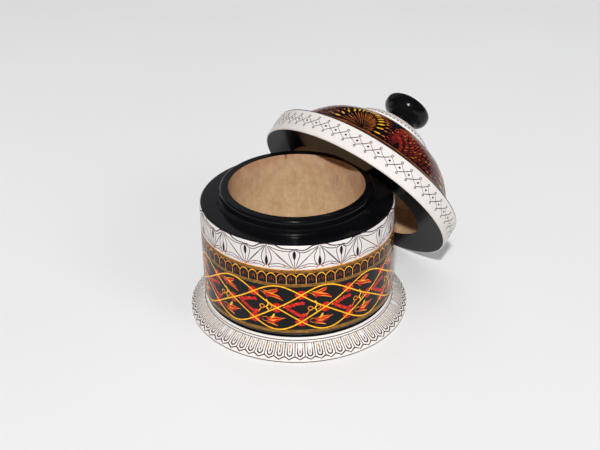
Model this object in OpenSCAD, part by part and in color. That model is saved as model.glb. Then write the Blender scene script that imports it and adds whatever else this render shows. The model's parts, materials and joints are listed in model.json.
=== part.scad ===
// Turned and lacquered wooden box, open, with its domed lid leaning against it.
// Millimetres, +Z up. The origin is the centre of the box's base on the table.
// The lid leans in the direction lean_azimuth, measured from +X towards +Y.

/* [Box] */
// Radius of the straight wall
wall_r = 51; // [48:0.5:54]
// Radius of the turned hollow
bore_r = 35.7; // [30:0.1:36]
// Height of the hollow's floor above the table
floor_z = 12; // [11:0.5:20]
// Radius of the fillet between the floor and the wall of the hollow
floor_fillet = 5; // [2:0.5:8]
// Height of the top of the spigot
top_z = 72; // [71:0.1:76]
// Outer radius of the spigot that the lid fits round
spigot_r = 40.2; // [39.5:0.1:40.5]
// Height of the shoulder that the lid sits on
shoulder_z = 64.7; // [62:0.1:66]
// Radius of the rounded edge of the shoulder
shoulder_round = 1.8; // [1:0.1:2.5]
// Height of the joint between the upper ivory band and the black wall
upper_joint_z = 50.7; // [46:0.1:56]
// Outer radius of the foot
foot_r = 58.9; // [57.5:0.1:60]

/* [Lid] */
// Outer radius of the ivory band round the lid
lid_r = 57.9; // [56:0.1:59]
// Height of the ivory band round the lid
lid_band_h = 13.3; // [12:0.1:14]
// Radius of the recess that fits round the spigot
recess_r = 41; // [40.8:0.1:42]
// Rise of the rim's underside from its outer edge to the recess
rim_rise = 0.9; // [0.5:0.1:1.5]
// Height in the lid where the straight wall of the recess ends
recess_wall_h = 17; // [10:0.5:18]
// Height of the middle of the recess's ceiling
ceiling_h = 31; // [24:0.5:31]
// Radius of the ivory boss under the knob
boss_r = 24.2; // [22:0.1:25]
// Height of the boss's foot above the rim
boss_foot_h = 39.7; // [39:0.1:40]
// Height of the boss's flat top above the rim
boss_top_h = 44.6; // [43:0.1:46]

/* [Knob] */
// Largest radius of the knob's head
knob_r = 13.4; // [11:0.1:15]
// Height of the knob above the boss
knob_h = 20.1; // [18:0.1:22]
// Radius of the bead at the knob's foot
knob_foot_r = 9.2; // [8:0.1:10]
// Radius of the glued tenon
tenon_r = 4.9; // [3:0.1:6]
// Length of the glued tenon
tenon_l = 10; // [6:0.5:10]

/* [Lacquer] */
// Thickness of every coat of lacquer
coat = 0.5; // [0.4:0.1:0.7]

/* [Leaning lid] */
// Angle between the lid's axis and the vertical
lean_tilt = 54.9; // [52:0.1:58]
// Direction that the lid leans in, from +X towards +Y
lean_azimuth = 47.9; // [0:0.1:360]
// Gap left between the lid and the box
lean_gap = 0.4; // [0.3:0.05:1]
// Gap left between the lid's lowest edge and the table
table_gap = 0.1; // [0.05:0.05:1]

/* [Hidden] */

ivory = [0.93, 0.90, 0.85];
black = [0.05, 0.05, 0.06];
bare_wood = [0.80, 0.64, 0.46];

round_steps = 8;     // segments in a small rounded edge
curve_steps = 14;    // segments in a long curve
glue_gap = 0.1;      // radial room for glue round the tenon
lid_round = 0.8;     // rounded lower edge of the lid
spigot_round = 1.6;  // rounded top edge of the spigot
joint_angle = 45;    // where black meets ivory on the rounded shoulder

// ---- Outline helpers: every outline is a list of [radius, height] points ----

// Circular arc about c from angle a0 to angle a1
function arc(c, r, a0, a1, n = round_steps) =
    [for (i = [0:n]) let (a = a0 + (a1 - a0) * i / n) c + r * [cos(a), sin(a)]];

// Shallow curve from p to q that bows to the right of its direction by sag
function bow(p, q, sag, n = curve_steps) =
    let (d = (q - p) / norm(q - p), side = [d[1], -d[0]])
    [for (i = [0:n]) let (t = i / n) p + t * (q - p) + 4 * sag * t * (1 - t) * side];

// Cubic curve from a to d that leaves a towards b and reaches d from c
function cubic(a, b, c, d, n = curve_steps) =
    [for (i = [0:n]) let (t = i / n, s = 1 - t)
        s * s * s * a + 3 * s * s * t * b + 3 * s * t * t * c + t * t * t * d];

function tail(list) = [for (i = [1:len(list) - 1]) list[i]];
function last(list) = list[len(list) - 1];

// Several outlines joined end to end, each starting where the one before ended
function chain(lists, i = 0) =
    i == len(lists) - 1 ? lists[i]
    : concat(lists[i], tail(chain(lists, i + 1)));

// Right-hand normal of the segment that starts at point i
function side_of(pts, i) =
    let (j = min(max(i, 0), len(pts) - 2), d = pts[j + 1] - pts[j]) [d[1], -d[0]] / norm(d);

// The outline moved inwards by t, which is the surface of the wood under a coat
function inset(pts, t) = [
    for (i = [0:len(pts) - 1])
        let (m = side_of(pts, i - 1), n = side_of(pts, i), p = pts[i] - t * (m + n) / (1 + m * n))
        [max(p[0], 0), p[1]]
];

// Points i0 to i1 of one outline and back along another
function between(outer, inner, i0, i1) =
    concat([for (i = [i0:i1]) outer[i]], [for (i = [i1:-1:i0]) inner[i]]);

module turn(points) rotate_extrude($fn = 128) polygon(points);

// ---- Box outline, from the foot up to the mouth ----

foot_edge_z = 0.4;
cove_z = 9.8;
cove_r = wall_r - 1.6;
bead_r = 1.05;
bead_c = [wall_r - 1.3, 8.95];
skirt_top = [wall_r + 0.5, 7.2];
skirt_edge_z = 1.9;
shoulder_c = [wall_r - shoulder_round, shoulder_z - shoulder_round];
spigot_foot = [spigot_r + 2, shoulder_z + 0.3];

foot_zone = concat(
    [[foot_r, foot_edge_z]],
    arc([foot_r - 0.6, skirt_edge_z], 0.6, 0, 60, 4),
    tail(bow([foot_r - 0.3, skirt_edge_z + 0.52], skirt_top, 0.2)),
    [[wall_r - 0.1, 7.5]],
    arc(bead_c, bead_r, -45, 80)
);
wall_zone = concat(
    [last(foot_zone)],
    cubic([cove_r, cove_z + 0.4], [cove_r + 0.1, cove_z + 1.6], [wall_r, cove_z + 2.2],
        [wall_r, cove_z + 4.4], 10),
    [[wall_r, upper_joint_z]]
);
upper_band_zone = concat([last(wall_zone)], arc(shoulder_c, shoulder_round, 0, joint_angle, 5));
rim_zone = concat(
    arc(shoulder_c, shoulder_round, joint_angle, 90, 5),
    [spigot_foot],
    arc(spigot_foot + [-0.8, 0.8], 0.4, -20, 110, 4),
    tail(cubic(spigot_foot + [-1.1, 1.3], spigot_foot + [-1.6, 1.5], [spigot_r, shoulder_z + 2.0],
        [spigot_r, shoulder_z + 3.0], 6)),
    arc([spigot_r - spigot_round, top_z - spigot_round], spigot_round, 0, 90),
    [[bore_r, top_z]]
);
box_skin = chain([foot_zone, wall_zone, upper_band_zone, rim_zone]);
box_wood = inset(box_skin, coat);
foot_end = len(foot_zone) - 1;
wall_end = foot_end + len(wall_zone) - 1;
upper_band_end = wall_end + len(upper_band_zone) - 1;
rim_end = len(box_skin) - 1;

// ---- Lid outline in the lid's own frame, from the recess over the dome to the tenon hole ----

hole_r = tenon_r + glue_gap;
dome_foot = [lid_r - 0.6, lid_band_h];
dome_turn = [lid_r - 9.3, lid_band_h + 5.5];  // where the flare turns into the dome

lid_rim_zone = [[recess_r, rim_rise], [lid_r - lid_round, 0]];
lid_band_zone = concat(
    arc([lid_r - lid_round, lid_round], lid_round, -90, 0),
    arc([lid_r - 0.6, lid_band_h - 0.6], 0.6, 0, 90, 4)
);
dome_zone = chain([
    cubic(dome_foot, dome_foot + [-2.6, 0.2], [lid_r - 7, dome_turn[1] - 3.6], dome_turn, 8),
    cubic(dome_turn, dome_turn + [-5.6, 8.6], [boss_r + 14, boss_foot_h - 5],
        [boss_r, boss_foot_h], 20)
]);
boss_zone = concat(
    [[boss_r, boss_foot_h]],
    tail(bow([boss_r + 0.1, boss_foot_h + 0.5], [boss_r - 3.8, boss_top_h - 0.5], 0.4, 8)),
    arc([boss_r - 4.6, boss_top_h - 0.8], 0.8, 45, 90, 4),
    [[hole_r, boss_top_h]]
);
lid_skin = chain([lid_rim_zone, lid_band_zone, dome_zone, boss_zone]);
lid_wood = inset(lid_skin, coat);
lid_rim_end = len(lid_rim_zone) - 1;
lid_band_end = lid_rim_end + len(lid_band_zone) - 1;
dome_end = lid_band_end + len(dome_zone) - 1;
boss_end = len(lid_skin) - 1;

// ---- Knob outline in the lid's own frame, from its foot to its top ----

head_upper = 5.9;
head_lower = 7.6;
head_power = 2 / 2.4;  // a little squarer than an ellipse
head_h = boss_top_h + knob_h - head_upper;
neck_r = knob_foot_r - 2;

function head_point(a) = [
    knob_r * pow(cos(a), head_power),
    head_h + sign(a) * (a > 0 ? head_upper : head_lower) * pow(abs(sin(a)), head_power)
];

knob_skin = concat(
    [[knob_foot_r - 0.4, boss_top_h]],
    arc([knob_foot_r - 1.2, boss_top_h + 1.2], 1.2, -45, 80, 6),
    arc([neck_r + 1.0, boss_top_h + 3.8], 1.2, 255, 180, 5),
    arc([knob_foot_r - 1.2, boss_top_h + 5.7], 1.0, -60, 80, 6),
    [for (a = [-48:8:88]) head_point(a)],
    [[0, boss_top_h + knob_h]]
);
knob_wood = inset(knob_skin, coat);
knob_end = len(knob_skin) - 1;

// ---- Leaning pose ----

lid_low_r = lid_r - lid_round;
lean_z = lid_low_r * sin(lean_tilt) - lid_round * cos(lean_tilt) + lid_round + table_gap;
// The edge of the recess would touch the rounded shoulder at two points. edge_z is the
// height of the middle of that edge's circle, and edge_s is how far up the circle's
// plane the two points lie from there.
touch = shoulder_c + shoulder_round * [cos(joint_angle), sin(joint_angle)];
edge_z = lean_z + rim_rise * cos(lean_tilt);
edge_s = (touch[1] - edge_z) / sin(lean_tilt);
edge_reach = edge_s * cos(lean_tilt)
    + sqrt(pow(touch[0], 2) + pow(edge_s, 2) - pow(recess_r - lean_gap, 2));
lean_reach = edge_reach - rim_rise * sin(lean_tilt);

module on_lid()
    rotate([0, 0, lean_azimuth]) translate([lean_reach, 0, lean_z]) rotate([0, lean_tilt, 0])
        children();

// ---- Box ----

module turned_box() color(bare_wood) turn(concat(
    [[0, 0], [foot_r - 0.7, 0]],
    box_wood,
    [[bore_r, floor_z + floor_fillet]],
    tail(arc([bore_r - floor_fillet, floor_z + floor_fillet], floor_fillet, 0, -90)),
    [[0, floor_z]]
));

module rim_lacquer() color(black) turn(between(box_skin, box_wood, upper_band_end, rim_end));

module upper_band_lacquer() color(ivory) turn(between(box_skin, box_wood, wall_end, upper_band_end));

module wall_lacquer() color(black) turn(between(box_skin, box_wood, foot_end, wall_end));

module foot_lacquer() color(ivory) turn(between(box_skin, box_wood, 0, foot_end));

// ---- Lid ----

module turned_lid() color(bare_wood) on_lid() difference() {
    turn(concat(
        lid_wood,
        [[0, boss_top_h - coat], [0, ceiling_h]],
        tail(bow([0, ceiling_h], [lid_wood[0][0], recess_wall_h], -3.2))
    ));
    translate([0, 0, boss_top_h - tenon_l - 0.4]) cylinder(r = hole_r, h = tenon_l + 1, $fn = 64);
}

module lid_rim_lacquer() color(black) on_lid() turn(between(lid_skin, lid_wood, 0, lid_rim_end));

module lid_band_lacquer() color(ivory)
    on_lid() turn(between(lid_skin, lid_wood, lid_rim_end, lid_band_end));

module dome_lacquer() color(black) on_lid() turn(between(lid_skin, lid_wood, lid_band_end, dome_end));

module boss_lacquer() color(ivory) on_lid() turn(between(lid_skin, lid_wood, dome_end, boss_end));

// ---- Knob ----

module turned_knob() color(bare_wood) on_lid() {
    turn(concat([[0, boss_top_h]], knob_wood));
    translate([0, 0, boss_top_h - tenon_l]) cylinder(r = tenon_r, h = tenon_l + 1, $fn = 64);
}

module knob_lacquer() color(black) on_lid() turn(between(knob_skin, knob_wood, 0, knob_end));

turned_box();
rim_lacquer();
upper_band_lacquer();
wall_lacquer();
foot_lacquer();
turned_lid();
lid_rim_lacquer();
lid_band_lacquer();
dome_lacquer();
boss_lacquer();
turned_knob();
knob_lacquer();
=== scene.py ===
"""Looks of a turned and lacquered wooden box, open, with its domed lid leaning on it.

The CAD nodes keep their shapes and get lacquer and wood materials. The painted and engraved
ornament is made of strokes, thin raised ribbons that lie on the turned surfaces.
Places on a surface are an angle in degrees round the axis and a height or radius in millimetres.
"""
import json
import math
import random

import bpy
from mathutils import Matrix, Vector
from mathutils.bvhtree import BVHTree


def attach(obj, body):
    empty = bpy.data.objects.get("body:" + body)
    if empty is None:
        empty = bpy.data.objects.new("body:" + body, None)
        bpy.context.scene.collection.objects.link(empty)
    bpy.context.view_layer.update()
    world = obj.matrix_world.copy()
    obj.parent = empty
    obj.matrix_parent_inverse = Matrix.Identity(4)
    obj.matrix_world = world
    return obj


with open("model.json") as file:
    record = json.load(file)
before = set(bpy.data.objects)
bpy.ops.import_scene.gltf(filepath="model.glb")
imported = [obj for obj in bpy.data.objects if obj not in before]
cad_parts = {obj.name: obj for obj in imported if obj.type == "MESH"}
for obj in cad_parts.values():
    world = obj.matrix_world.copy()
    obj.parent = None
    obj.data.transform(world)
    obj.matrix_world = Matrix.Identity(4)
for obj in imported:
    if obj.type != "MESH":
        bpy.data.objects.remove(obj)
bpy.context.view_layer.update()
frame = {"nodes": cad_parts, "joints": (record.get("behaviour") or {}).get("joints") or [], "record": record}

MM = 0.001
BOX_PLACE = Matrix.Identity(4)   # the box's own frame is the shared frame

# ---- Viewpoint ----
VIEW_ELEVATION = 30.23    # degrees above the horizon
VIEW_DISTANCE = 584       # mm from the viewpoint to the target
VIEW_TARGET_Z = 40        # mm, a point on the box's axis
VIEW_RISE = 6.2           # mm, how far above the target the view is centred
VIEW_RIGHT = 1.3          # mm, how far to the right of it
VIEW_ROLL = -0.99         # degrees
LENS = 65.7               # mm on a 36 mm sensor

# ---- Ornament of the box ----
BAND_REPEATS = 13         # units round the main band and the ivory band
UNIT = 360 / BAND_REPEATS
WAVE_START = -74.8        # angle of a crest of the interlaced line
WAVE_MID = 28.15          # height of its middle
WAVE_RISE = 12.95         # half its height
WAVE_POINT = 0.075        # how much its crests are pointed and its flanks straight
WAVE_UNITS = 4            # units per wave
WAVE_STEP = 1.5           # degrees between the points of the line
WALL_DEGREES = math.degrees(1 / 51)   # degrees per mm of the wall's surface, 51 mm in radius
ARCHES = 65
GOLD_LINES = (            # height and width of each
    (50.3, 0.42), (49.65, 0.34), (49.0, 0.26), (42.4, 0.30), (41.75, 0.34), (41.1, 0.26),
    (15.1, 0.32), (14.35, 0.46), (13.6, 0.34))
IVORY_START = -92.1       # angle of one upper seed on the ivory band
IVORY_FOOT = 50.7         # height of the ivory band's lower edge
IVORY_WEIGHT = 1.6        # how much heavier the ivory band's lines are than the widths given
SEED_SHIFTS = {           # hand-made errors of the seeds in front, in degrees
    -4: 1.0, -3: -3.0, -2: -0.8, -1: -1.8, 1: 0.2, 2: -1.1, 3: -4.2, 5: 1.2}
TONGUES = 68              # tongues round the foot
TONGUE_TOP = 51.1         # radius where the lines between them start
TONGUE_FORK = 57.45       # radius where two tongues part
TONGUE_TIP = 58.7         # radius of a tongue's tip

# ---- Ornament of the lid ----
LATTICE = 56              # diamonds round the lid's ivory band
LATTICE_START = -138.5
LID_DEGREES = math.degrees(1 / 57.9)   # degrees per mm of the lid's band, 57.9 mm in radius
FANS = 4                  # fans, and as many wings, round the dome
FAN_START = -168          # angle of the first fan
FAN_FOOT = 48.6           # radius of the fans' lower edge
WING_RIBS = 41
WING_FOOT = 17            # degrees from a wing's middle to the foot of its ribs
WING_PITCH = 2.9          # mm between the drops of a rib
DOME_DEGREE = 0.75        # mm per degree half way up the dome
DOME_TICKS = 90           # pairs of little drops round the boss
BOSS_DASHES = 60

# ---- Strokes ----
EDGE = 0.012              # how far a stroke's edges stand off the surface
LOW, MIDDLE, HIGH = 0.035, 0.055, 0.075   # heights of the strokes' crowns, in three layers
FAR = 150                 # distance from which surfaces are searched for
POINT_WIDTH = 0.03        # a stroke narrower than this ends in a point
BLACK_SLOT, IVORY_SLOT = "painted_black_lacquer", "ivory_lacquer"

rng = random.Random(11)


def wobble(amount):
    """A small hand-made error, up to amount either way."""
    return rng.uniform(-amount, amount)


# ---- Surfaces ----

def lid_place():
    """The lid's own frame: height 0 at its rim, +Z along its axis and +X down its slope."""
    axis = Vector(frame["joints"][0]["axis"]).normalized()
    down = (axis * axis.z - Vector((0, 0, 1))).normalized()
    across = axis.cross(down)
    points = [v.co for v in frame["nodes"]["lid_band_lacquer"].data.vertices]

    def middle(direction):
        reach = [p.dot(direction) for p in points]
        return (min(reach) + max(reach)) / 2

    rim = min(p.dot(axis) for p in points)
    centre = down * middle(down) + across * middle(across) + axis * rim
    turn = Matrix((down, across, axis)).transposed().to_4x4()
    return Matrix.Translation(centre) @ turn


LID_PLACE = lid_place()


class Skin:
    """The outside of some turned CAD nodes, which gives a point and a normal for each place."""

    def __init__(self, nodes, place):
        verts, faces = [], []
        for name in nodes:
            mesh = frame["nodes"][name].data
            first = len(verts)
            verts += [v.co for v in mesh.vertices]
            faces += [[first + i for i in p.vertices] for p in mesh.polygons]
        self.tree = BVHTree.FromPolygons(verts, faces)
        self.place = place

    def meet(self, start, toward):
        """The surface met from start, in the turned piece's own frame and in mm."""
        start = self.place @ (start * MM)
        toward = self.place.to_3x3() @ toward
        point, normal, _, _ = self.tree.ray_cast(start, toward)
        if point is None:
            raise RuntimeError("a stroke runs off its surface")
        return point, (-normal if normal.dot(toward) > 0 else normal)

    def beside(self, angle, height):
        """The surface met from the side, at this angle and height."""
        out = Vector((math.cos(math.radians(angle)), math.sin(math.radians(angle)), 0))
        return self.meet(out * FAR + Vector((0, 0, height)), -out)

    def above(self, angle, radius):
        """The surface met from above, at this angle and radius."""
        out = Vector((math.cos(math.radians(angle)), math.sin(math.radians(angle)), 0))
        return self.meet(out * radius + Vector((0, 0, FAR)), Vector((0, 0, -1)))


# ---- Strokes ----

def drop(width, fullest=0.5):
    """Pointed at both ends, and widest at this share of the length."""
    power = math.log(0.5) / math.log(fullest)
    return lambda t: width * max(math.sin(math.pi * t ** power), 0) ** 0.75


def taper(width, tip):
    """From full width at the start to the tip's width at the end."""
    return lambda t: tip + (width - tip) * (1 - t) ** 0.7


def engraved(width):
    """A fine line, a little thinner at its ends."""
    def at(t):
        if not 0 < t < 1:
            return width * 0.5
        return width * (0.55 + 0.45 * math.sin(math.pi * t) ** 0.5)
    return at


def lumpy(width, lumps):
    """A thick line with rounded lumps along it, pointed at both ends."""
    def at(t):
        ends = min(t / 0.06, (1 - t) / 0.08, 1)
        return width * max(ends, 0) ** 0.6 * (0.62 + 0.38 * abs(math.sin(math.pi * lumps * t)))
    return at


def straight(start, end, steps):
    """A straight route between two places."""
    return [tuple(p + (q - p) * i / steps for p, q in zip(start, end)) for i in range(steps + 1)]


def curve(points, steps=6):
    """A smooth route through the points."""
    ends = [points[0]] + list(points) + [points[-1]]
    route = []
    for a, b, c, d in zip(ends, ends[1:], ends[2:], ends[3:]):
        for i in range(steps):
            t = i / steps
            route.append(tuple(
                0.5 * (2 * q + (r - p) * t + (2 * p - 5 * q + 4 * r - s) * t ** 2
                       + (3 * q - p - 3 * r + s) * t ** 3)
                for p, q, r, s in zip(a, b, c, d)))
    return route + [tuple(points[-1])]


def shifted(points, angle, height=0.0, flip=1):
    """A route moved to an angle and height, and mirrored if flip is -1."""
    return [(angle + flip * u, height + v) for u, v in points]


def loop(angle, height, radius, degrees_per_mm, steps=14):
    """A closed circle of this radius in mm."""
    wide = radius * degrees_per_mm
    turn = [2 * math.pi * i / steps for i in range(steps)]
    return [(angle + wide * math.cos(a), height + radius * math.sin(a)) for a in turn]


class Strokes:
    """One piece made of strokes on a surface, which at(u, v) gives."""

    def __init__(self, at):
        self.at = at
        self.verts = []
        self.faces = []

    def _row(self, point, normal, side, half, lift):
        """Adds the ribbon's edges and crown at one place, or a single point where it is thin."""
        first = len(self.verts)
        if half * 2 < POINT_WIDTH:
            self.verts.append(point)
            return [first]
        low = normal * EDGE * MM
        wide = side * half * MM
        self.verts += [point + wide + low, point + normal * lift * MM, point - wide + low]
        return [first, first + 1, first + 2]

    def _bridge(self, a, b):
        """Adds the faces between two neighbouring rows."""
        if len(a) == 3 and len(b) == 3:
            self.faces += [(a[0], a[1], b[1], b[0]), (a[1], a[2], b[2], b[1])]
        elif len(b) == 3:
            self.faces += [(a[0], b[1], b[0]), (a[0], b[2], b[1])]
        elif len(a) == 3:
            self.faces += [(a[0], a[1], b[0]), (a[1], a[2], b[0])]

    def stroke(self, route, width, lift, closed=False):
        """Adds a ribbon along a route. Its width, in mm, is a number or a function of 0 to 1."""
        at_share = width if callable(width) else lambda t: width
        spots = [self.at(u, v) for u, v in route]
        n = len(spots)
        run = [0.0]
        for (p, _), (q, _) in zip(spots, spots[1:]):
            run.append(run[-1] + (q - p).length)
        rows = []
        for i, (point, normal) in enumerate(spots):
            before = spots[(i - 1) % n if closed else max(i - 1, 0)][0]
            after = spots[(i + 1) % n if closed else min(i + 1, n - 1)][0]
            side = normal.cross(after - before).normalized()
            rows.append(self._row(point, normal, side, at_share(run[i] / run[-1]) / 2, lift))
        for a, b in zip(rows, rows[1:] + rows[:1] if closed else rows[1:]):
            self._bridge(a, b)

    def ring(self, place, width, lift=LOW):
        """Adds a line all the way round, at one height or radius."""
        self.stroke([(angle, place) for angle in range(360)], width, lift, closed=True)

    def piece(self, name, body, slot, material):
        """Makes the piece, which rides on a body. The slot is not used."""
        mesh = bpy.data.meshes.new(name)
        mesh.from_pydata(self.verts, [], self.faces)
        mesh.shade_smooth()
        mesh.materials.append(material)
        made = bpy.data.objects.new(name, mesh)
        bpy.context.scene.collection.objects.link(made)
        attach(made, body)


# ---- Materials ----

GLOSS = 0.2               # strength of the lacquer's reflection
RIM_GLOSS = 0.03          # and under the lid's rim, which looks dull
PAINT_ROUGHNESS = 0.2
BLACK_RELIEF = 0.000012   # height of the turning lines, in metres
IVORY_RELIEF = 0.000008

NONE, ALL = (0, 0, 0), (1, 1, 1)   # ends of a ramp that is used as a factor

# Two shades each, between which the colour shifts
BLACK = ((0.0025, 0.0025, 0.003), (0.005, 0.005, 0.006))
IVORY = ((0.70, 0.645, 0.61), (0.76, 0.715, 0.68))
# a paler copy of the ivory, with painted light, for the foot and the boss, which the lamps leave in shade
IVORY_PAINTED_LIGHTER = ((0.79, 0.73, 0.69), (0.85, 0.80, 0.76))
YELLOW = ((1.0, 0.62, 0.008), (1.0, 0.74, 0.012))
TIP_YELLOW = ((0.92, 0.42, 0.010), (1.0, 0.58, 0.012))
ORANGE = ((0.72, 0.17, 0.006), (0.88, 0.32, 0.012))
RED = ((0.43, 0.006, 0.006), (0.62, 0.018, 0.010))
DARK_RED = ((0.16, 0.012, 0.010), (0.30, 0.020, 0.014))
GOLD = ((0.31, 0.135, 0.018), (0.48, 0.23, 0.034))
ARCH_ORANGE = ((0.70, 0.20, 0.010), (0.95, 0.48, 0.02))
ARCH_RED = ((0.10, 0.012, 0.008), (0.32, 0.07, 0.015))
INK = ((0.006, 0.004, 0.014), (0.012, 0.008, 0.024))
GREY_VIOLET = ((0.022, 0.012, 0.024), (0.075, 0.042, 0.065))
GREY_LINE = ((0.020, 0.015, 0.022), (0.06, 0.045, 0.06))
TICK_RED = ((0.35, 0.03, 0.03), (0.55, 0.12, 0.04))
FOOT_LINE = ((0.014, 0.007, 0.006), (0.056, 0.027, 0.022))
FOOT_TINT = ((0.42, 0.20, 0.04), (0.60, 0.36, 0.14))
DOME_YELLOW = ((0.85, 0.28, 0.010), (1.0, 0.58, 0.02))
DOME_ORANGE = ((0.58, 0.10, 0.008), (0.84, 0.25, 0.012))
DOME_RED = ((0.26, 0.012, 0.012), (0.48, 0.035, 0.014))
DOME_OCHRE = ((0.34, 0.075, 0.015), (0.54, 0.16, 0.025))
WOOD_MOTTLE = ((0.46, 0.28, 0.145), (0.80, 0.60, 0.38))
WOOD_GRAIN = ((0.44, 0.27, 0.14), (0.80, 0.60, 0.38))

WOOD_STOPS = ((0.28, (0.42, 0.255, 0.135)), (0.45, (0.56, 0.370, 0.205)),
              (0.60, (0.63, 0.430, 0.245)), (0.8, (0.72, 0.52, 0.32)))
WOOD_VEIN = (0.42, 0.235, 0.12)
WOOD_BLUSH = (0.50, 0.235, 0.14)
WOOD_CRACK = (0.20, 0.085, 0.05)


def add(tree, kind, inputs=None, **settings):
    """A new node with its settings, and with its inputs, each a value or another node's output."""
    node = tree.nodes.new(kind)
    for key, value in settings.items():
        setattr(node, key, value)
    for key, value in (inputs or {}).items():
        if isinstance(value, bpy.types.NodeSocket):
            tree.links.new(value, node.inputs[key])
        else:
            node.inputs[key].default_value = value
    return node


def material(name):
    """A new material with its node tree and its shader."""
    made = bpy.data.materials.new(name)
    made.use_nodes = True
    tree = made.node_tree
    return made, tree, tree.nodes["Principled BSDF"]


def own_place(tree, place):
    """Coordinates in the turned piece's own frame, in metres."""
    found = add(tree, "ShaderNodeTexCoord").outputs["Object"]
    mapping = add(tree, "ShaderNodeMapping", {
        "Vector": found, "Location": place.translation, "Rotation": place.to_euler()},
        vector_type="TEXTURE")
    return mapping.outputs["Vector"]


def noise(tree, vector, scale, detail, stretch=(1, 1, 1), distortion=0.0):
    """Noise from 0 to 1. Its scale is per metre, and stretch multiplies it along each axis."""
    moved = add(tree, "ShaderNodeMapping", {"Vector": vector, "Scale": stretch})
    made = add(tree, "ShaderNodeTexNoise", {
        "Vector": moved.outputs["Vector"], "Scale": scale, "Detail": detail,
        "Distortion": distortion})
    return made.outputs["Fac"]


def product(tree, a, b):
    """Two factors multiplied."""
    made = add(tree, "ShaderNodeMath", {0: a, 1: b}, operation="MULTIPLY")
    return made.outputs["Value"]


def turned(tree, vector):
    """Coordinates that hardly change round the axis: radius, height and a little of the angle."""
    split = add(tree, "ShaderNodeSeparateXYZ", {"Vector": vector})
    flat = add(tree, "ShaderNodeCombineXYZ", {"X": split.outputs["X"], "Y": split.outputs["Y"]})
    radius = add(tree, "ShaderNodeVectorMath", {0: flat.outputs["Vector"]}, operation="LENGTH")
    drift = product(tree, split.outputs["X"], 0.02)
    made = add(tree, "ShaderNodeCombineXYZ", {
        "X": radius.outputs["Value"], "Y": split.outputs["Z"], "Z": drift})
    return made.outputs["Vector"]


def rgba(colour):
    """A colour with its alpha."""
    return (*colour, 1)


def ramp(tree, factor, *stops):
    """A colour ramp of (place, colour) stops."""
    made = add(tree, "ShaderNodeValToRGB", {"Fac": factor})
    elements = made.color_ramp.elements
    while len(elements) < len(stops):
        elements.new(0.5)
    for element, (at, colour) in zip(elements, stops):
        element.position = at
        element.color = rgba(colour)
    return made.outputs["Color"]


def level(tree, factor, low, high):
    """A factor of 0 to 1 spread from low to high."""
    made = add(tree, "ShaderNodeMapRange", {"Value": factor, "To Min": low, "To Max": high})
    return made.outputs["Result"]


def mixed(tree, factor, a, b):
    """Two colours mixed."""
    made = add(tree, "ShaderNodeMix", {"Factor": factor, "A": a, "B": b}, data_type="RGBA")
    return made.outputs["Result"]


def relief(tree, shader, height, strength, distance):
    """Bumps the surface by a pattern of heights. The distance is in metres."""
    bump = add(tree, "ShaderNodeBump", {
        "Height": height, "Strength": strength, "Distance": distance})
    tree.links.new(bump.outputs["Normal"], shader.inputs["Normal"])


def lacquer(name, place, shades, roughness, line_height, gloss=GLOSS):
    """Polished lac: mottled colour, faint turning lines, and a finger-polished gloss."""
    made, tree, shader = material(name)
    at = own_place(tree, place)
    lathe = turned(tree, at)
    cloud = noise(tree, at, 55, 4)
    shader.inputs["Specular IOR Level"].default_value = gloss
    colour = ramp(tree, cloud, (0.3, shades[0]), (0.7, shades[1]))
    tree.links.new(colour, shader.inputs["Base Color"])
    smear = noise(tree, at, 160, 4, (1, 1, 0.35))
    sheen = level(tree, smear, roughness * 0.7, roughness * 1.5)
    tree.links.new(sheen, shader.inputs["Roughness"])
    relief(tree, shader, noise(tree, lathe, 900, 2), 1.0, line_height)
    return made


def paint(name, place, shades, scale=420):
    """Brushed lac colour that shifts between two shades along the stroke."""
    made, tree, shader = material(name)
    at = own_place(tree, place)
    patch = noise(tree, at, scale, 3)
    colour = ramp(tree, patch, (0.38, shades[0]), (0.62, shades[1]))
    tree.links.new(colour, shader.inputs["Base Color"])
    shader.inputs["Roughness"].default_value = PAINT_ROUGHNESS
    shader.inputs["Specular IOR Level"].default_value = GLOSS
    relief(tree, shader, noise(tree, at, 2600, 2), 0.3, 0.00002)
    return made


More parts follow.
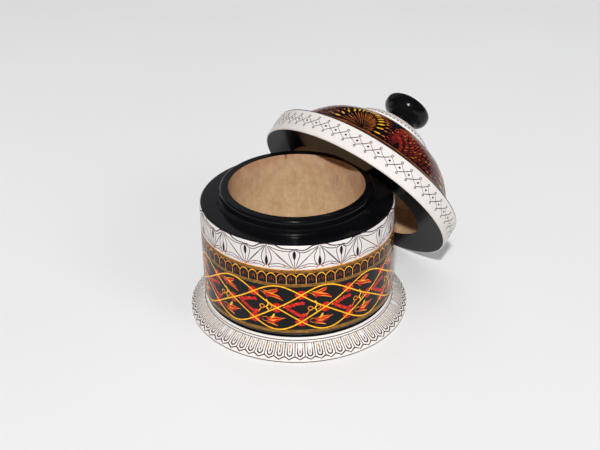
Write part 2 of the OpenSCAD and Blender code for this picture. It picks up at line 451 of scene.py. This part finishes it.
def bare_wood(name, place, blush):
    """Turned close-grained wood: mottled figure, fine grain, pores and faint turning lines.
    It reddens, with a few dark cracks, between the two heights of blush, in metres."""
    made, tree, shader = material(name)
    at = own_place(tree, place)
    lathe = turned(tree, at)
    height = add(tree, "ShaderNodeSeparateXYZ", {"Vector": at}).outputs["Z"]

    def streaked(base, share, pattern, low, high, shades):
        """The base with a share of a pattern that runs between two shades."""
        return mixed(tree, share, base, ramp(tree, pattern, (low, shades[0]), (high, shades[1])))

    base = ramp(tree, noise(tree, at, 40, 7, (1, 1, 1), 1.2), *WOOD_STOPS)
    figure = noise(tree, at, 46, 3, (1, 1, 1.5), 2.2)
    vein = ramp(tree, figure, (0.47, NONE), (0.495, ALL), (0.52, NONE))
    base = mixed(tree, level(tree, vein, 0.0, 0.25), base, rgba(WOOD_VEIN))
    mottle = noise(tree, at, 330, 4, (1, 1, 0.7))
    base = streaked(base, 0.28, mottle, 0.36, 0.64, WOOD_MOTTLE)
    grain = noise(tree, at, 620, 4, (1, 1, 0.25))
    base = streaked(base, 0.12, grain, 0.35, 0.65, WOOD_GRAIN)
    rings = noise(tree, lathe, 700, 4)
    base = streaked(base, 0.07, rings, 0.35, 0.65, WOOD_GRAIN)
    near = add(tree, "ShaderNodeMapRange", {
        "Value": height, "From Min": blush[0], "From Max": blush[1]}).outputs["Result"]
    patch = ramp(tree, noise(tree, at, 120, 5), (0.40, (0.1, 0.1, 0.1)), (0.62, ALL))
    red = product(tree, near, patch)
    base = mixed(tree, level(tree, red, 0.0, 0.75), base, rgba(WOOD_BLUSH))
    crack = ramp(tree, noise(tree, at, 218, 2, (1, 1, 0.2)), (0.68, NONE), (0.74, ALL))
    crack = product(tree, crack, level(tree, near, 0.0, 0.8))
    base = mixed(tree, crack, base, rgba(WOOD_CRACK))
    tree.links.new(base, shader.inputs["Base Color"])
    tree.links.new(level(tree, grain, 0.5, 0.72), shader.inputs["Roughness"])
    pores = noise(tree, at, 1500, 2, (1, 1, 0.2))
    both = add(tree, "ShaderNodeMath", {0: rings, 1: pores}, operation="ADD")
    relief(tree, shader, both.outputs["Value"], 0.5, 0.00006)
    return made


def dress(node, made):
    """Gives a CAD node a material."""
    mesh = frame["nodes"][node].data
    mesh.materials.clear()
    mesh.materials.append(made)
    for polygon in mesh.polygons:
        polygon.material_index = 0


def dress_frame():
    """Materials of the CAD nodes."""
    # body, its own frame, and the heights in metres between which its bare wood reddens
    rows = ("box", BOX_PLACE, (0.052, 0.072)), ("lid", LID_PLACE, (0.012, 0.0))
    for body, place, blush in rows:
        black = lacquer(body + "_black_lacquer", place, BLACK, 0.13, BLACK_RELIEF)
        ivory = lacquer(body + "_ivory_lacquer", place, IVORY, 0.20, IVORY_RELIEF)
        wood = bare_wood(body + "_bare_wood", place, blush)
        for node in frame["record"]["behaviour"]["bodies"][body]:
            # the foot and the boss take the paler ivory: painted light where the lamps leave them in shade
            if node in ("foot_lacquer", "boss_lacquer"):
                name = node.replace("lacquer", "ivory_lacquer")
                dress(node, lacquer(name, place, IVORY_PAINTED_LIGHTER, 0.20, IVORY_RELIEF))
            elif node in ("upper_band_lacquer", "lid_band_lacquer"):
                dress(node, ivory)
            elif node == "lid_rim_lacquer":
                name = "lid_rim_black_lacquer"
                dress(node, lacquer(name, place, BLACK, 0.16, BLACK_RELIEF, RIM_GLOSS))
            elif node.endswith("_lacquer"):
                dress(node, black)
            else:
                dress(node, wood)


# ---- Main band of the box ----

def wave_height(angle):
    """Height of the interlaced line. Past 360 degrees the angle goes on, as the line does."""
    x = 2 * math.pi * (angle - WAVE_START) / (WAVE_UNITS * UNIT)
    return WAVE_MID + WAVE_RISE * (math.cos(x) + WAVE_POINT * math.cos(3 * x)) / (1 + WAVE_POINT)


def wave_route():
    """The interlaced line: one closed line that goes round the box four times."""
    angles = [WAVE_START + i * WAVE_STEP for i in range(int(360 * WAVE_UNITS / WAVE_STEP))]
    return [(angle, wave_height(angle)) for angle in angles]


def flower(red, orange, angle, height, side_lobes=True):
    """Petals behind a crossing of the line: above and below it, and on both sides if asked."""
    for up in (1, -1):
        tall = 2.7 + wobble(0.3)
        lean = wobble(0.4)
        red.stroke(curve([(angle, height + up * 0.4), (angle + lean, height + up * 1.6),
                          (angle + lean, height + up * tall)]), drop(3.7, 0.62), LOW)
        vein = [(angle - 0.9, height + up * 1.1), (angle - 0.8 + lean, height + up * 1.9)]
        orange.stroke(curve(vein), drop(0.35), MIDDLE)
    if not side_lobes:
        return
    for side in (1, -1):
        reach = 3.6 + wobble(0.3)
        red.stroke([(angle + side * u, height + wobble(0.15)) for u in (0.8, 1.8, 2.8, reach)],
                   drop(1.9, 0.6), LOW)


def branch(red, orange, yellow, angle):
    """The notched V branch that grows out of a middle crossing."""
    upper = [(3.6, 28.8), (7.2, 29.7), (11.2, 30.9), (15.3, 31.5)]
    lower = [(5.4, 28.2), (8.6, 26.6), (11.6, 24.8), (14.3, 23.9), (16.2, 24.6)]
    drift = wobble(0.3)
    for arm, lumps in ((upper, 5), (lower, 6)):
        route = shifted(curve(arm, 8), angle, drift)
        red.stroke(route, lumpy(1.8, lumps), LOW)
        last = len(route) - 1
        for i in range(lumps):
            u, v = route[min(int((i + 0.7) * last / lumps), last)]
            lobe = [(u - 0.9, v + 0.9), (u, v), (u + 1.1, v - 0.9)]
            red.stroke(curve(lobe, 4), drop(1.9), MIDDLE)
            if i % 2:
                shine = [(u - 1.2, v + 0.7), (u - 0.8, v + 0.2), (u - 0.4, v - 0.4)]
                orange.stroke(curve(shine, 3), drop(0.36), HIGH)
    tail = curve([(15.9, 24.2), (17.0, 25.0), (18.1, 26.4), (18.7, 27.4)])
    orange.stroke(shifted(tail, angle, drift), taper(0.75, 0.3), MIDDLE)
    yellow.stroke(shifted([(3.4, 28.7), (4.1, 28.9), (4.9, 28.8)], angle, drift), drop(1.1), MIDDLE)


def clasp(red, orange, yellow, angle):
    """The little ring, stem, bracket and hook to the left of a middle crossing."""
    orange.stroke(loop(angle - 8.8, 28.1, 1.15, WALL_DEGREES), 0.55, MIDDLE, closed=True)
    stem = [(angle - 7.5, 27.8), (angle - 6.8, 27.9), (angle - 6.1, 28.2)]
    orange.stroke(curve(stem), 0.5, MIDDLE)
    bracket = [(-6.3, 32.5), (-5.4, 31.2), (-5.2, 29.6), (-6.1, 28.1), (-5.4, 26.9), (-5.0, 25.7)]
    yellow.stroke(shifted(curve(bracket), angle), 0.62, MIDDLE)
    hook = [(-4.6, 29.4), (-3.6, 29.6), (-3.1, 28.5), (-3.7, 27.4), (-4.6, 27.5)]
    orange.stroke(shifted(curve(hook, 4), angle), taper(0.55, 0.3), MIDDLE)
    red.stroke(shifted([(-3.2, 28.5), (-2.2, 28.4), (-1.0, 28.3)], angle), drop(2.1), LOW)


# A leaf's strokes: route, greatest width, and where along it that is
UPPER_LEAF = (
    (([(7.0, 36.2), (10.6, 37.6), (14.9, 39.1)], 2.0, 0.6),
     ([(6.6, 36.5), (10.5, 35.8), (14.2, 34.9), (17.4, 33.1)], 2.3, 0.45),
     ([(9.6, 36.4), (8.6, 35.2), (8.2, 33.9)], 1.7, 0.5),
     ([(5.6, 36.9), (7.4, 36.6), (9.2, 36.2)], 1.7, 0.5)),
    (([(5.2, 38.3), (8.2, 37.6), (11.2, 38.6), (14.6, 39.6)], 0.54, 0.5),
     ([(6.0, 37.3), (9.4, 36.9), (12.4, 37.4), (14.6, 38.4)], 0.513, 0.5),
     ([(9.0, 36.3), (12.0, 36.0), (14.6, 35.5), (15.6, 34.5)], 0.513, 0.5),
     ([(9.2, 34.9), (12.4, 34.7), (15.0, 33.9), (17.6, 32.7)], 0.567, 0.5),
     ([(3.8, 37.4), (6.0, 36.6), (8.0, 34.7)], 0.405, 0.5)),
    (([(8.6, 37.3), (10.6, 36.6), (12.8, 36.0)], 0.55, 0.5),),
)
LOWER_LEAF = (
    (([(7.4, 21.2), (10.8, 21.6), (14.6, 22.0), (18.2, 22.6)], 1.9, 0.4),
     ([(7.6, 20.0), (10.8, 20.0), (13.6, 20.7), (16.2, 21.6)], 2.0, 0.45),
     ([(8.2, 19.4), (10.6, 19.0), (12.4, 18.5)], 1.2, 0.45)),
    (([(8.2, 20.9), (11.4, 20.9), (14.8, 21.6), (18.9, 22.7)], 0.567, 0.5),
     ([(8.8, 22.3), (12.4, 22.6), (16.0, 22.6)], 0.405, 0.5),
     ([(7.4, 19.0), (10.4, 18.8), (12.4, 18.1), (14.2, 17.5)], 0.837, 0.5),
     ([(4.2, 21.0), (6.2, 22.0), (8.6, 22.0)], 0.351, 0.5),
     ([(4.4, 20.6), (6.4, 19.6), (8.2, 19.5)], 0.351, 0.5)),
    (([(9.8, 21.4), (11.3, 22.9), (12.3, 24.8)], 1.15, 0.55),
     ([(9.0, 20.5), (11.2, 20.3), (13.2, 20.7)], 0.5, 0.5)),
)


def leaf(red, orange, yellow, angle, shape):
    """A leaf to the right of a crossing: red lobes, orange veins and yellow tips."""
    shift = wobble(0.25)
    for made, strokes, lift in zip((red, orange, yellow), shape, (LOW, MIDDLE, HIGH)):
        for points, width, fullest in strokes:
            made.stroke(shifted(curve(points, 5), angle, shift), drop(width, fullest), lift)


def main_band(skin):
    """The band of interlaced yellow line, red flowers and leaves on black."""
    edge, line, red, orange, yellow = (Strokes(skin.beside) for _ in range(5))
    edge.stroke(wave_route(), 0.80, MIDDLE, closed=True)
    line.stroke(wave_route(), 0.54, HIGH, closed=True)
    rise = wave_height(WAVE_START + UNIT / 2) - WAVE_MID
    for k in range(BAND_REPEATS):
        middle = WAVE_START + k * UNIT
        side = middle + UNIT / 2
        flower(red, orange, middle, WAVE_MID, side_lobes=False)
        flower(red, orange, side, WAVE_MID + rise)
        flower(red, orange, side, WAVE_MID - rise)
        branch(red, orange, yellow, middle)
        clasp(red, orange, yellow, middle)
        leaf(red, orange, yellow, side, UPPER_LEAF)
        leaf(red, orange, yellow, side, LOWER_LEAF)
    slot = BLACK_SLOT
    edge.piece("wave_line_edge", "box", slot, paint("wave_edge_orange", BOX_PLACE, ORANGE))
    line.piece("wave_line", "box", slot, paint("wave_yellow", BOX_PLACE, YELLOW))
    red.piece("flowers_and_leaves", "box", slot, paint("flower_red", BOX_PLACE, RED))
    orange.piece("leaf_veins", "box", slot, paint("vein_orange", BOX_PLACE, ORANGE))
    yellow.piece("clasps_and_leaf_tips", "box", slot, paint("tip_yellow", BOX_PLACE, TIP_YELLOW))


# ---- Arch row and gold lines of the box ----

def arch_row(skin):
    """The row of little arches under the ivory band, and the gold lines."""
    arch, marks, gold = (Strokes(skin.beside) for _ in range(3))
    width = 360 / ARCHES
    # places across an arch are shares of its width
    top = [(-0.46, 46.6), (-0.34, 47.6), (-0.2, 48.2), (0, 48.5),
           (0.2, 48.2), (0.34, 47.6), (0.46, 46.6)]
    for k in range(ARCHES):
        at = k * width + wobble(0.15)
        arch.stroke([(at - width / 2, z) for z in (42.5, 44.0, 45.5, 46.9)], 0.34, LOW)
        arch.stroke([(at + u * width, z + wobble(0.1)) for u, z in top],
                    lambda t: 0.34 + 0.22 * math.sin(math.pi * t), MIDDLE)
        for u, low, high in ((-0.2, 43.4, 46.4), (0.2, 43.4, 46.4), (0.02, 44.2, 47.4)):
            route = [(at + (u + wobble(0.06)) * width, low + (high - low) * i / 4)
                     for i in range(5)]
            marks.stroke(route, drop(0.34 + wobble(0.08)), LOW)
        bar = [(at - 0.25 * width, 45.0), (at, 45.4), (at + 0.25 * width, 45.0)]
        marks.stroke(bar, drop(0.35), LOW)
    for z, thick in GOLD_LINES:
        gold.ring(z, thick)
    slot = BLACK_SLOT
    arch.piece("arch_row", "box", slot, paint("arch_orange", BOX_PLACE, ARCH_ORANGE, 300))
    marks.piece("arch_marks", "box", slot, paint("arch_red", BOX_PLACE, ARCH_RED))
    gold.piece("gold_lines", "box", slot, paint("gold_line", BOX_PLACE, GOLD))


# ---- Ivory band of the box ----

def ivory_band(skin):
    """Seeds, leaf outlines, swags and rays, engraved and filled."""
    seeds, lines, ticks, drops = (Strokes(skin.beside) for _ in range(4))
    half = UNIT / 2

    def line(points, angle, flip, width):
        moved = [(u + wobble(0.15), v + wobble(0.08)) for u, v in points]
        route = shifted(curve(moved, 5), angle, 0, flip)
        lines.stroke(route, engraved(width * IVORY_WEIGHT), LOW)

    def seed_angle(i):
        """Angle of a seed: even ones hang under the swags, odd ones stand lower between them."""
        count = 2 * BAND_REPEATS
        near = (i + BAND_REPEATS) % count - BAND_REPEATS
        return IVORY_START + i * half + SEED_SHIFTS.get(near, 0.0)

    for k in range(BAND_REPEATS):
        a = seed_angle(2 * k)
        b = seed_angle(2 * k + 1)
        seeds.stroke(straight((a, 61.8), (a, 56.2), 8), drop(1.7, 0.45), MIDDLE)
        seeds.stroke(straight((b, 59.0), (b, 52.4), 8), drop(1.7, 0.6), MIDDLE)
        line([(0, 57.2), (0.1, 54.4), (0, 51.6)], a, 1, 0.2)
        line([(0, 63.9), (-0.1, 61.0), (0, 58.0)], b, 1, 0.22)
        line([(-2.0, 62.75), (-0.7, 62.3), (0.7, 62.3), (2.0, 62.6)], a, 1, 0.5)
        for flip in (1, -1):
            gap = abs(seed_angle(2 * k + flip) - a) / half * flip
            rise = 0.7 if flip < 0 else 0.0
            # outlines round the seeds, then rays, swags and the leaves at the foot
            for points, angle, turn, width in (
                    ([(0.5, 62.2), (2.4, 61.0), (2.9, 59.2), (2.0, 55.6), (0.3, 51.4)],
                     a, flip, 0.24),
                    ([(0.2, 64.0), (1.6, 61.6), (2.9, 58.0), (2.4, 54.9), (0.8, 52.9)],
                     b, flip, 0.26),
                    ([(half - 0.2, 64.0), (half / 2, 57.8), (0.4, 51.3)], a, gap, 0.26),
                    ([(half - 1.4, 63.3), (half / 2 - 0.2, 57.3), (0.9, 51.8)], a, gap, 0.16),
                    ([(half - 0.4, 64.25), (9.6, 63.9 + rise / 2), (6.6, 62.4 + rise),
                      (4.0, 61.9 + rise), (1.0, 62.5)], a, gap, 0.40),
                    ([(half - 1.0, 63.7), (9.2, 62.2), (6.0, 60.7 + rise), (3.2, 60.7 + rise),
                      (0.8, 61.9)], a, gap, 0.30),
                    ([(1.2, 51.9), (4.0, 53.2), (7.4, 54.2), (10.6, 53.8), (12.8, 52.8)],
                     a, gap, 0.24),
                    ([(1.4, 51.4), (5.0, 52.2), (8.8, 52.7), (12.4, 51.9)], a, gap, 0.22)):
                line(points, angle, turn, width)
            for points, angle, width in (
                    ([(4.4, 52.5), (5.6, 52.9), (6.6, 53.5)], a, 0.45),
                    ([(0.4, 53.0), (1.4, 52.2), (2.0, 51.3)], b, 0.5),
                    ([(1.0, 52.9), (2.0, 53.6), (2.7, 54.7)], b, 0.35)):
                ticks.stroke(shifted(curve(points, 4), angle, 0, flip), drop(width), LOW)
        drops.stroke(straight((a, 52.9), (a, 50.6), 6), drop(1.2, 0.7), MIDDLE)
    drops.ring(IVORY_FOOT, 0.3)
    slot = IVORY_SLOT
    seeds.piece("ivory_band_seeds", "box", slot, paint("seed_ink", BOX_PLACE, INK))
    lines.piece("ivory_band_lines", "box", slot, paint("band_line_violet", BOX_PLACE, GREY_VIOLET))
    ticks.piece("ivory_band_ticks", "box", slot, paint("tick_red", BOX_PLACE, TICK_RED))
    drops.piece("ivory_band_drops", "box", slot, paint("drop_orange", BOX_PLACE, ORANGE))


# ---- Foot of the box ----

def foot_tongues(skin):
    """The row of pointed tongues engraved on the flared foot."""
    outer, inner, tint = (Strokes(skin.above) for _ in range(3))
    unit = 360 / TONGUES
    # places across a tongue are shares of its width
    cup = [(-0.25, 51.5), (-0.25, 54.0), (-0.25, 56.0), (-0.17, 56.95), (0, 57.3),
           (0.17, 56.95), (0.25, 56.0), (0.25, 54.0), (0.25, 51.5)]
    for k in range(TONGUES):
        at = k * unit + wobble(0.12)
        tip = TONGUE_TIP + wobble(0.1)
        fork = TONGUE_FORK + wobble(0.12)
        side = at - unit / 2
        outer.stroke(straight((side, TONGUE_TOP), (side, fork), 5), 0.45, LOW)
        outer.stroke([(side, fork), (at - unit / 4, (fork + tip) / 2), (at, tip),
                      (at + unit / 4, (fork + tip) / 2), (at + unit / 2, fork)], 0.64, LOW)
        inner.stroke([(at + u * unit, r + wobble(0.04)) for u, r in cup],
                     lambda t: 0.3 + 0.5 * math.sin(math.pi * t) ** 3, LOW)
        inner.stroke([(at + wobble(0.03), 54.0 + i * 0.55 + wobble(0.1)) for i in range(5)],
                     drop(0.62 + wobble(0.12), 0.65), LOW)
        if rng.random() < 0.85:
            tint.stroke([(at + wobble(0.3), 51.4 + i * 1.2) for i in range(4)],
                        drop(0.85 + wobble(0.2), 0.3), LOW)
    outer.ring(51.0, 0.5)
    slot = IVORY_SLOT
    outer.piece("foot_tongues", "box", slot, paint("foot_line", BOX_PLACE, FOOT_LINE))
    inner.piece("foot_tongue_insides", "box", slot, paint("foot_inner_line", BOX_PLACE, FOOT_LINE))
    tint.piece("foot_tints", "box", slot, paint("foot_tint", BOX_PLACE, FOOT_TINT))


def bead_line(skin):
    """The dark line under the ivory bead, and a dark ring low round the skirt's edge, just above the floor.
    """
    made = Strokes(skin.beside)
    made.ring(8.75, 0.6)
    made.ring(0.95, 0.5)
    made.piece("bead_line", "box", IVORY_SLOT, paint("bead_line_brown", BOX_PLACE, FOOT_LINE))


# ---- Ornament of the lid ----

def lid_lattice(skin):
    """Diamonds with a seed in each and small rings above and below, on the lid's ivory band."""
    lines, faint, dots = (Strokes(skin.beside) for _ in range(3))
    unit = 360 / LATTICE
    angles = [LATTICE_START + k * unit + wobble(0.25) for k in range(LATTICE)]
    tops = [10.2 + wobble(0.2) for _ in angles]
    for k, at in enumerate(angles):
        before = angles[k - 1] - (0 if k else 360)
        after = angles[(k + 1) % LATTICE] + (0 if k < LATTICE - 1 else 360)
        top = tops[k]
        leftward = [(at, top - 0.5), (at - 0.4, 9.3), ((at + before) / 2, 7.0),
                    (before + 0.4, 5.2), (before, 4.7)]
        lines.stroke(curve(leftward, 4), engraved(0.46), LOW)
        rightward = [(at, top - 0.5), (at + 0.4, 9.2), ((at + after) / 2, 7.0),
                     (after - 0.4, 5.3), (after, 4.7)]
        faint.stroke(curve(rightward, 4), engraved(0.26), LOW)
        lines.stroke(loop(at, top, 0.56, LID_DEGREES, 10), 0.36, LOW, closed=True)
        lines.stroke(loop(at, 4.2, 0.52, LID_DEGREES, 10), 0.4, LOW, closed=True)
        dots.stroke(straight((at, 7.85), (at, 6.7), 6), drop(1.4), MIDDLE)
    lines.ring(12.9, 0.5, MIDDLE)
    slot = IVORY_SLOT
    lines.piece("lid_band_lattice", "lid", slot, paint("lattice_line", LID_PLACE, GREY_LINE))
    faint.piece("lid_band_lattice_faint", "lid", slot,
                paint("lattice_faint_line", LID_PLACE, GREY_VIOLET))
    dots.piece("lid_band_seeds", "lid", slot, paint("lattice_ink", LID_PLACE, INK))


def fan_point(centre, wide, tall, base, turn):
    """A place on a fan's arch. The arch is wide to each side of its centre, in degrees, and tall,
    in mm, inward from the radius base; turn goes from 0 on the right to 180 on the left."""
    a = math.radians(turn)
    return centre + wide * math.cos(a), base - tall * math.sin(a)


def fan_drops(made, centre, wide, tall, count, length, width):
    """A row of drops along a fan's arch, each pointing away from the fan's foot."""
    for i in range(count):
        turn = 4 + 172 * i / (count - 1) + wobble(1.0)
        start = fan_point(centre, wide * (1 - length), tall * (1 - length), FAN_FOOT, turn)
        end = fan_point(centre, wide, tall, FAN_FOOT, turn)
        made.stroke(straight(start, end, 6), drop(width * rng.uniform(0.85, 1.15), 0.6), MIDDLE)


def part(route, start, end, steps=5):
    """The part of a route between two shares of its length."""
    made = []
    for i in range(steps + 1):
        at = min(max(start + (end - start) * i / steps, 0), 1) * (len(route) - 1)
        k = min(int(at), len(route) - 2)
        made.append(tuple(p + (q - p) * (at - k) for p, q in zip(route[k], route[k + 1])))
    return made


def wing(red, orange, dark, centre):
    """A wing of curved ribs that spring from one foot on its left, each a row of short drops."""
    base = FAN_FOOT + 0.4
    foot = (centre - WING_FOOT, base + 0.3)
    for i in range(WING_RIBS):
        turn = 3 + 174 * i / (WING_RIBS - 1) + wobble(0.8)
        end = fan_point(centre, 24.5, 18.6, base + 0.4, turn)
        rise = 0.4 + 2.2 * math.sin(math.radians(turn))
        bend = ((foot[0] + end[0]) / 2, (foot[1] + end[1]) / 2 - rise)
        rib = curve([foot, bend, end], 8)
        length = math.hypot((end[0] - foot[0]) * DOME_DEGREE, end[1] - foot[1])
        count = max(3, round(length / WING_PITCH))
        between = i % 2
        if between:
            dark.stroke(part(rib, 0.08, 0.9, 8), drop(0.42, 0.6), LOW)
        for j in range(count):
            start = (j + 0.3 + 0.5 * between + wobble(0.1)) / (count + 0.5)
            from_foot = start * length
            if from_foot < (8 if between else 2):
                continue    # the ribs are too close together there
            made = orange if (i + j * 3) % 7 in (0, 3) and j > 1 else red
            width = min(0.14 + 0.09 * from_foot, 0.3 + 0.5 * start)
            made.stroke(part(rib, start, start + 0.8 / (count + 0.5)), drop(width, 0.6), MIDDLE)


def fan_centre(fine, orange, centre):
    """The fine curved rays inside a fan."""
    rays = 23
    for i in range(rays):
        turn = -2 + 184 * i / (rays - 1) + wobble(1.5)
        start = (centre + 5.0, FAN_FOOT + 0.4)
        end = fan_point(centre, 12.4, 10.0, FAN_FOOT + 0.3, turn)
        bend = (start[0] * 0.5 + end[0] * 0.5 + 0.8, start[1] * 0.5 + end[1] * 0.5)
        route = curve([start, bend, end], 4)
        fine.stroke(part(route, 0.35 if i % 2 else 0.1, 1), drop(0.42, 0.7), LOW)
        if i % 3 == 1:
            orange.stroke(part(route, 0.5, 0.98), drop(0.36, 0.6), MIDDLE)


def dome_ornament(skin):
    """Fans of bright drops and feathery wings round the lid's dome."""
    yellow, orange, red, dark, fine = (Strokes(skin.above) for _ in range(5))
    span = 360 / FANS
    for k in range(FANS):
        centre = FAN_START + k * span
        fan_drops(yellow, centre, 17.8, 14.6, 16, 0.30, 1.35)
        fan_drops(orange, centre, 21.0, 17.8, 23, 0.15, 0.8)
        fan_drops(red, centre, 23.2, 20.6, 27, 0.11, 0.7)
        fan_centre(fine, orange, centre)
        wing(red, orange, dark, centre + span / 2)
    for i in range(DOME_TICKS):
        at = i * 360 / DOME_TICKS + wobble(0.3)
        red.stroke([(at, 25.9), (at + 0.3, 26.8), (at + 0.4, 27.8)], drop(0.7, 0.6), LOW)
        orange.stroke([(at + 2, 25.8), (at + 2.2, 26.5), (at + 2.2, 27.2)], drop(0.5, 0.6), LOW)
    for radius, width in ((25.3, 0.35), (50.0, 0.6), (50.9, 0.3)):
        fine.ring(radius, width)
    slot = BLACK_SLOT
    yellow.piece("dome_fan_drops", "lid", slot, paint("dome_yellow", LID_PLACE, DOME_YELLOW))
    orange.piece("dome_outer_drops", "lid", slot, paint("dome_orange", LID_PLACE, DOME_ORANGE))
    red.piece("dome_feathers", "lid", slot, paint("dome_red", LID_PLACE, DOME_RED))
    dark.piece("dome_dark_feathers", "lid", slot, paint("dome_dark_red", LID_PLACE, DARK_RED))
    fine.piece("dome_fine_lines", "lid", slot, paint("dome_ochre", LID_PLACE, DOME_OCHRE))


def boss_lines(skin):
    """The broken line and the thin line on the ivory boss."""
    made = Strokes(skin.beside)
    for i in range(BOSS_DASHES):
        at = i * 360 / BOSS_DASHES + wobble(0.4)
        made.stroke(straight((at, 41.4), (at + 4.6, 41.4), 4), drop(1.0), MIDDLE)
    made.ring(42.5, 0.3)
    made.piece("boss_lines", "lid", IVORY_SLOT, paint("boss_line", LID_PLACE, GREY_LINE))


# ---- Stage ----

def mottled(tree, scale, dark, light):
    """A colour that drifts a little between two shades. The scale is per metre."""
    at = add(tree, "ShaderNodeTexCoord").outputs["Object"]
    return ramp(tree, noise(tree, at, scale, 2), (0.3, dark), (0.7, light))


def floor():
    """A plain pale floor."""
    half = 4.0
    corners = [(-half, -half, 0), (half, -half, 0), (half, half, 0), (-half, half, 0)]
    mesh = bpy.data.meshes.new("floor")
    mesh.from_pydata(corners, [], [(0, 1, 2, 3)])
    made, tree, shader = material("floor_cloth")
    colour = mottled(tree, 3, (0.765, 0.765, 0.77), (0.795, 0.795, 0.80))
    tree.links.new(colour, shader.inputs["Base Color"])
    shader.inputs["Emission Color"].default_value = (1, 1, 1, 1)
    shader.inputs["Emission Strength"].default_value = 0.08
    shader.inputs["Roughness"].default_value = 0.9
    shader.inputs["Specular IOR Level"].default_value = 0.1
    mesh.materials.append(made)
    plane = bpy.data.objects.new("floor", mesh)
    bpy.context.scene.collection.objects.link(plane)


def backdrop():
    """A plain pale wall all round, which only the camera sees."""
    sides, radius, bottom, top = 64, 3.9, -0.02, 6.0
    turns = [2 * math.pi * i / sides for i in range(sides)]
    verts = [(radius * math.cos(a), radius * math.sin(a), z) for z in (bottom, top) for a in turns]
    faces = [(i, (i + 1) % sides, sides + (i + 1) % sides, sides + i) for i in range(sides)]
    mesh = bpy.data.meshes.new("backdrop")
    mesh.from_pydata(verts, [], faces)
    made, tree, shader = material("backdrop_paper")
    shader.inputs["Base Color"].default_value = (0, 0, 0, 1)
    shader.inputs["Specular IOR Level"].default_value = 0
    glow = mottled(tree, 1, (0.72, 0.725, 0.73), (0.75, 0.755, 0.76))
    tree.links.new(glow, shader.inputs["Emission Color"])
    shader.inputs["Emission Strength"].default_value = 1
    mesh.materials.append(made)
    wall = bpy.data.objects.new("backdrop", mesh)
    wall.visible_diffuse = False
    wall.visible_glossy = False
    wall.visible_transmission = False
    wall.visible_shadow = False
    bpy.context.scene.collection.objects.link(wall)


def softbox(name, place, target, size, power, glossy=True):
    """A square soft light, placed in mm and aimed at a point. Its size is in mm and its power in
    watts. Its reflection may be left out."""
    data = bpy.data.lights.new(name, "AREA")
    data.shape = "SQUARE"
    data.size = size * MM
    data.energy = power
    made = bpy.data.objects.new(name, data)
    made.location = Vector(place) * MM
    aim = Vector(target) * MM - made.location
    made.rotation_euler = aim.to_track_quat("-Z", "Y").to_euler()
    made.visible_glossy = glossy
    bpy.context.scene.collection.objects.link(made)


def lights():
    """A lamp above the viewpoint, a softbox overhead, a fill from the right, and a dim room."""
    softbox("camera_lamp", (-330, -3550, 3400), (10, 0, 40), 260, 218)
    softbox("overhead", (0, 0, 2400), (0, 0, 0), 3000, 17, glossy=False)
    softbox("fill", (1900, -1500, 1500), (0, 0, 50), 900, 12, glossy=False)
    world = bpy.data.worlds.new("room")
    world.use_nodes = True
    tree = world.node_tree
    direction = add(tree, "ShaderNodeTexCoord").outputs["Generated"]
    look = add(tree, "ShaderNodeSeparateXYZ", {"Vector": direction})

    def soft(axis, start, end):
        """A factor that goes smoothly from 0 to 1 along an axis of the direction."""
        made = add(tree, "ShaderNodeMapRange", {
            "Value": look.outputs[axis], "From Min": start, "From Max": end},
            interpolation_type="SMOOTHSTEP")
        return made.outputs["Result"]

    # the room is paler behind the object, on its left and above the table
    behind = product(tree, soft("X", 0.02, -0.10), soft("Y", 0.2, 0.6))
    pale = product(tree, behind, soft("Z", 0.0, 0.25))
    shade = tree.nodes["Background"]
    shade.inputs["Color"].default_value = (0.93, 0.96, 1.0, 1)
    tree.links.new(level(tree, pale, 0.045, 0.36), shade.inputs["Strength"])
    bpy.context.scene.world = world


def camera():
    """The camera at the viewpoint."""
    rise = math.radians(VIEW_ELEVATION)
    target = Vector((0, 0, VIEW_TARGET_Z))
    back = Vector((0, -math.cos(rise), math.sin(rise)))
    up = Vector((0, math.sin(rise), math.cos(rise)))
    place = target + back * VIEW_DISTANCE
    aim = target + up * VIEW_RISE + Vector((VIEW_RIGHT, 0, 0)) - place
    data = bpy.data.cameras.new("camera")
    data.lens = LENS
    made = bpy.data.objects.new("camera", data)
    roll = Matrix.Rotation(math.radians(VIEW_ROLL), 4, "Z")
    turn = aim.to_track_quat("-Z", "Y").to_matrix().to_4x4() @ roll
    made.matrix_world = Matrix.Translation(place * MM) @ turn
    bpy.context.scene.collection.objects.link(made)
    bpy.context.scene.camera = made


# ---- The scene ----

box_skin = Skin(["wall_lacquer", "upper_band_lacquer", "rim_lacquer"], BOX_PLACE)
foot_skin = Skin(["foot_lacquer"], BOX_PLACE)
lid_skin = Skin(["lid_band_lacquer", "dome_lacquer", "boss_lacquer"], LID_PLACE)

dress_frame()
main_band(box_skin)
arch_row(box_skin)
ivory_band(box_skin)
foot_tongues(foot_skin)
bead_line(foot_skin)
lid_lattice(lid_skin)
dome_ornament(lid_skin)
boss_lines(lid_skin)
floor()
backdrop()
lights()
camera()
bpy.context.scene.view_settings.view_transform = "Standard"
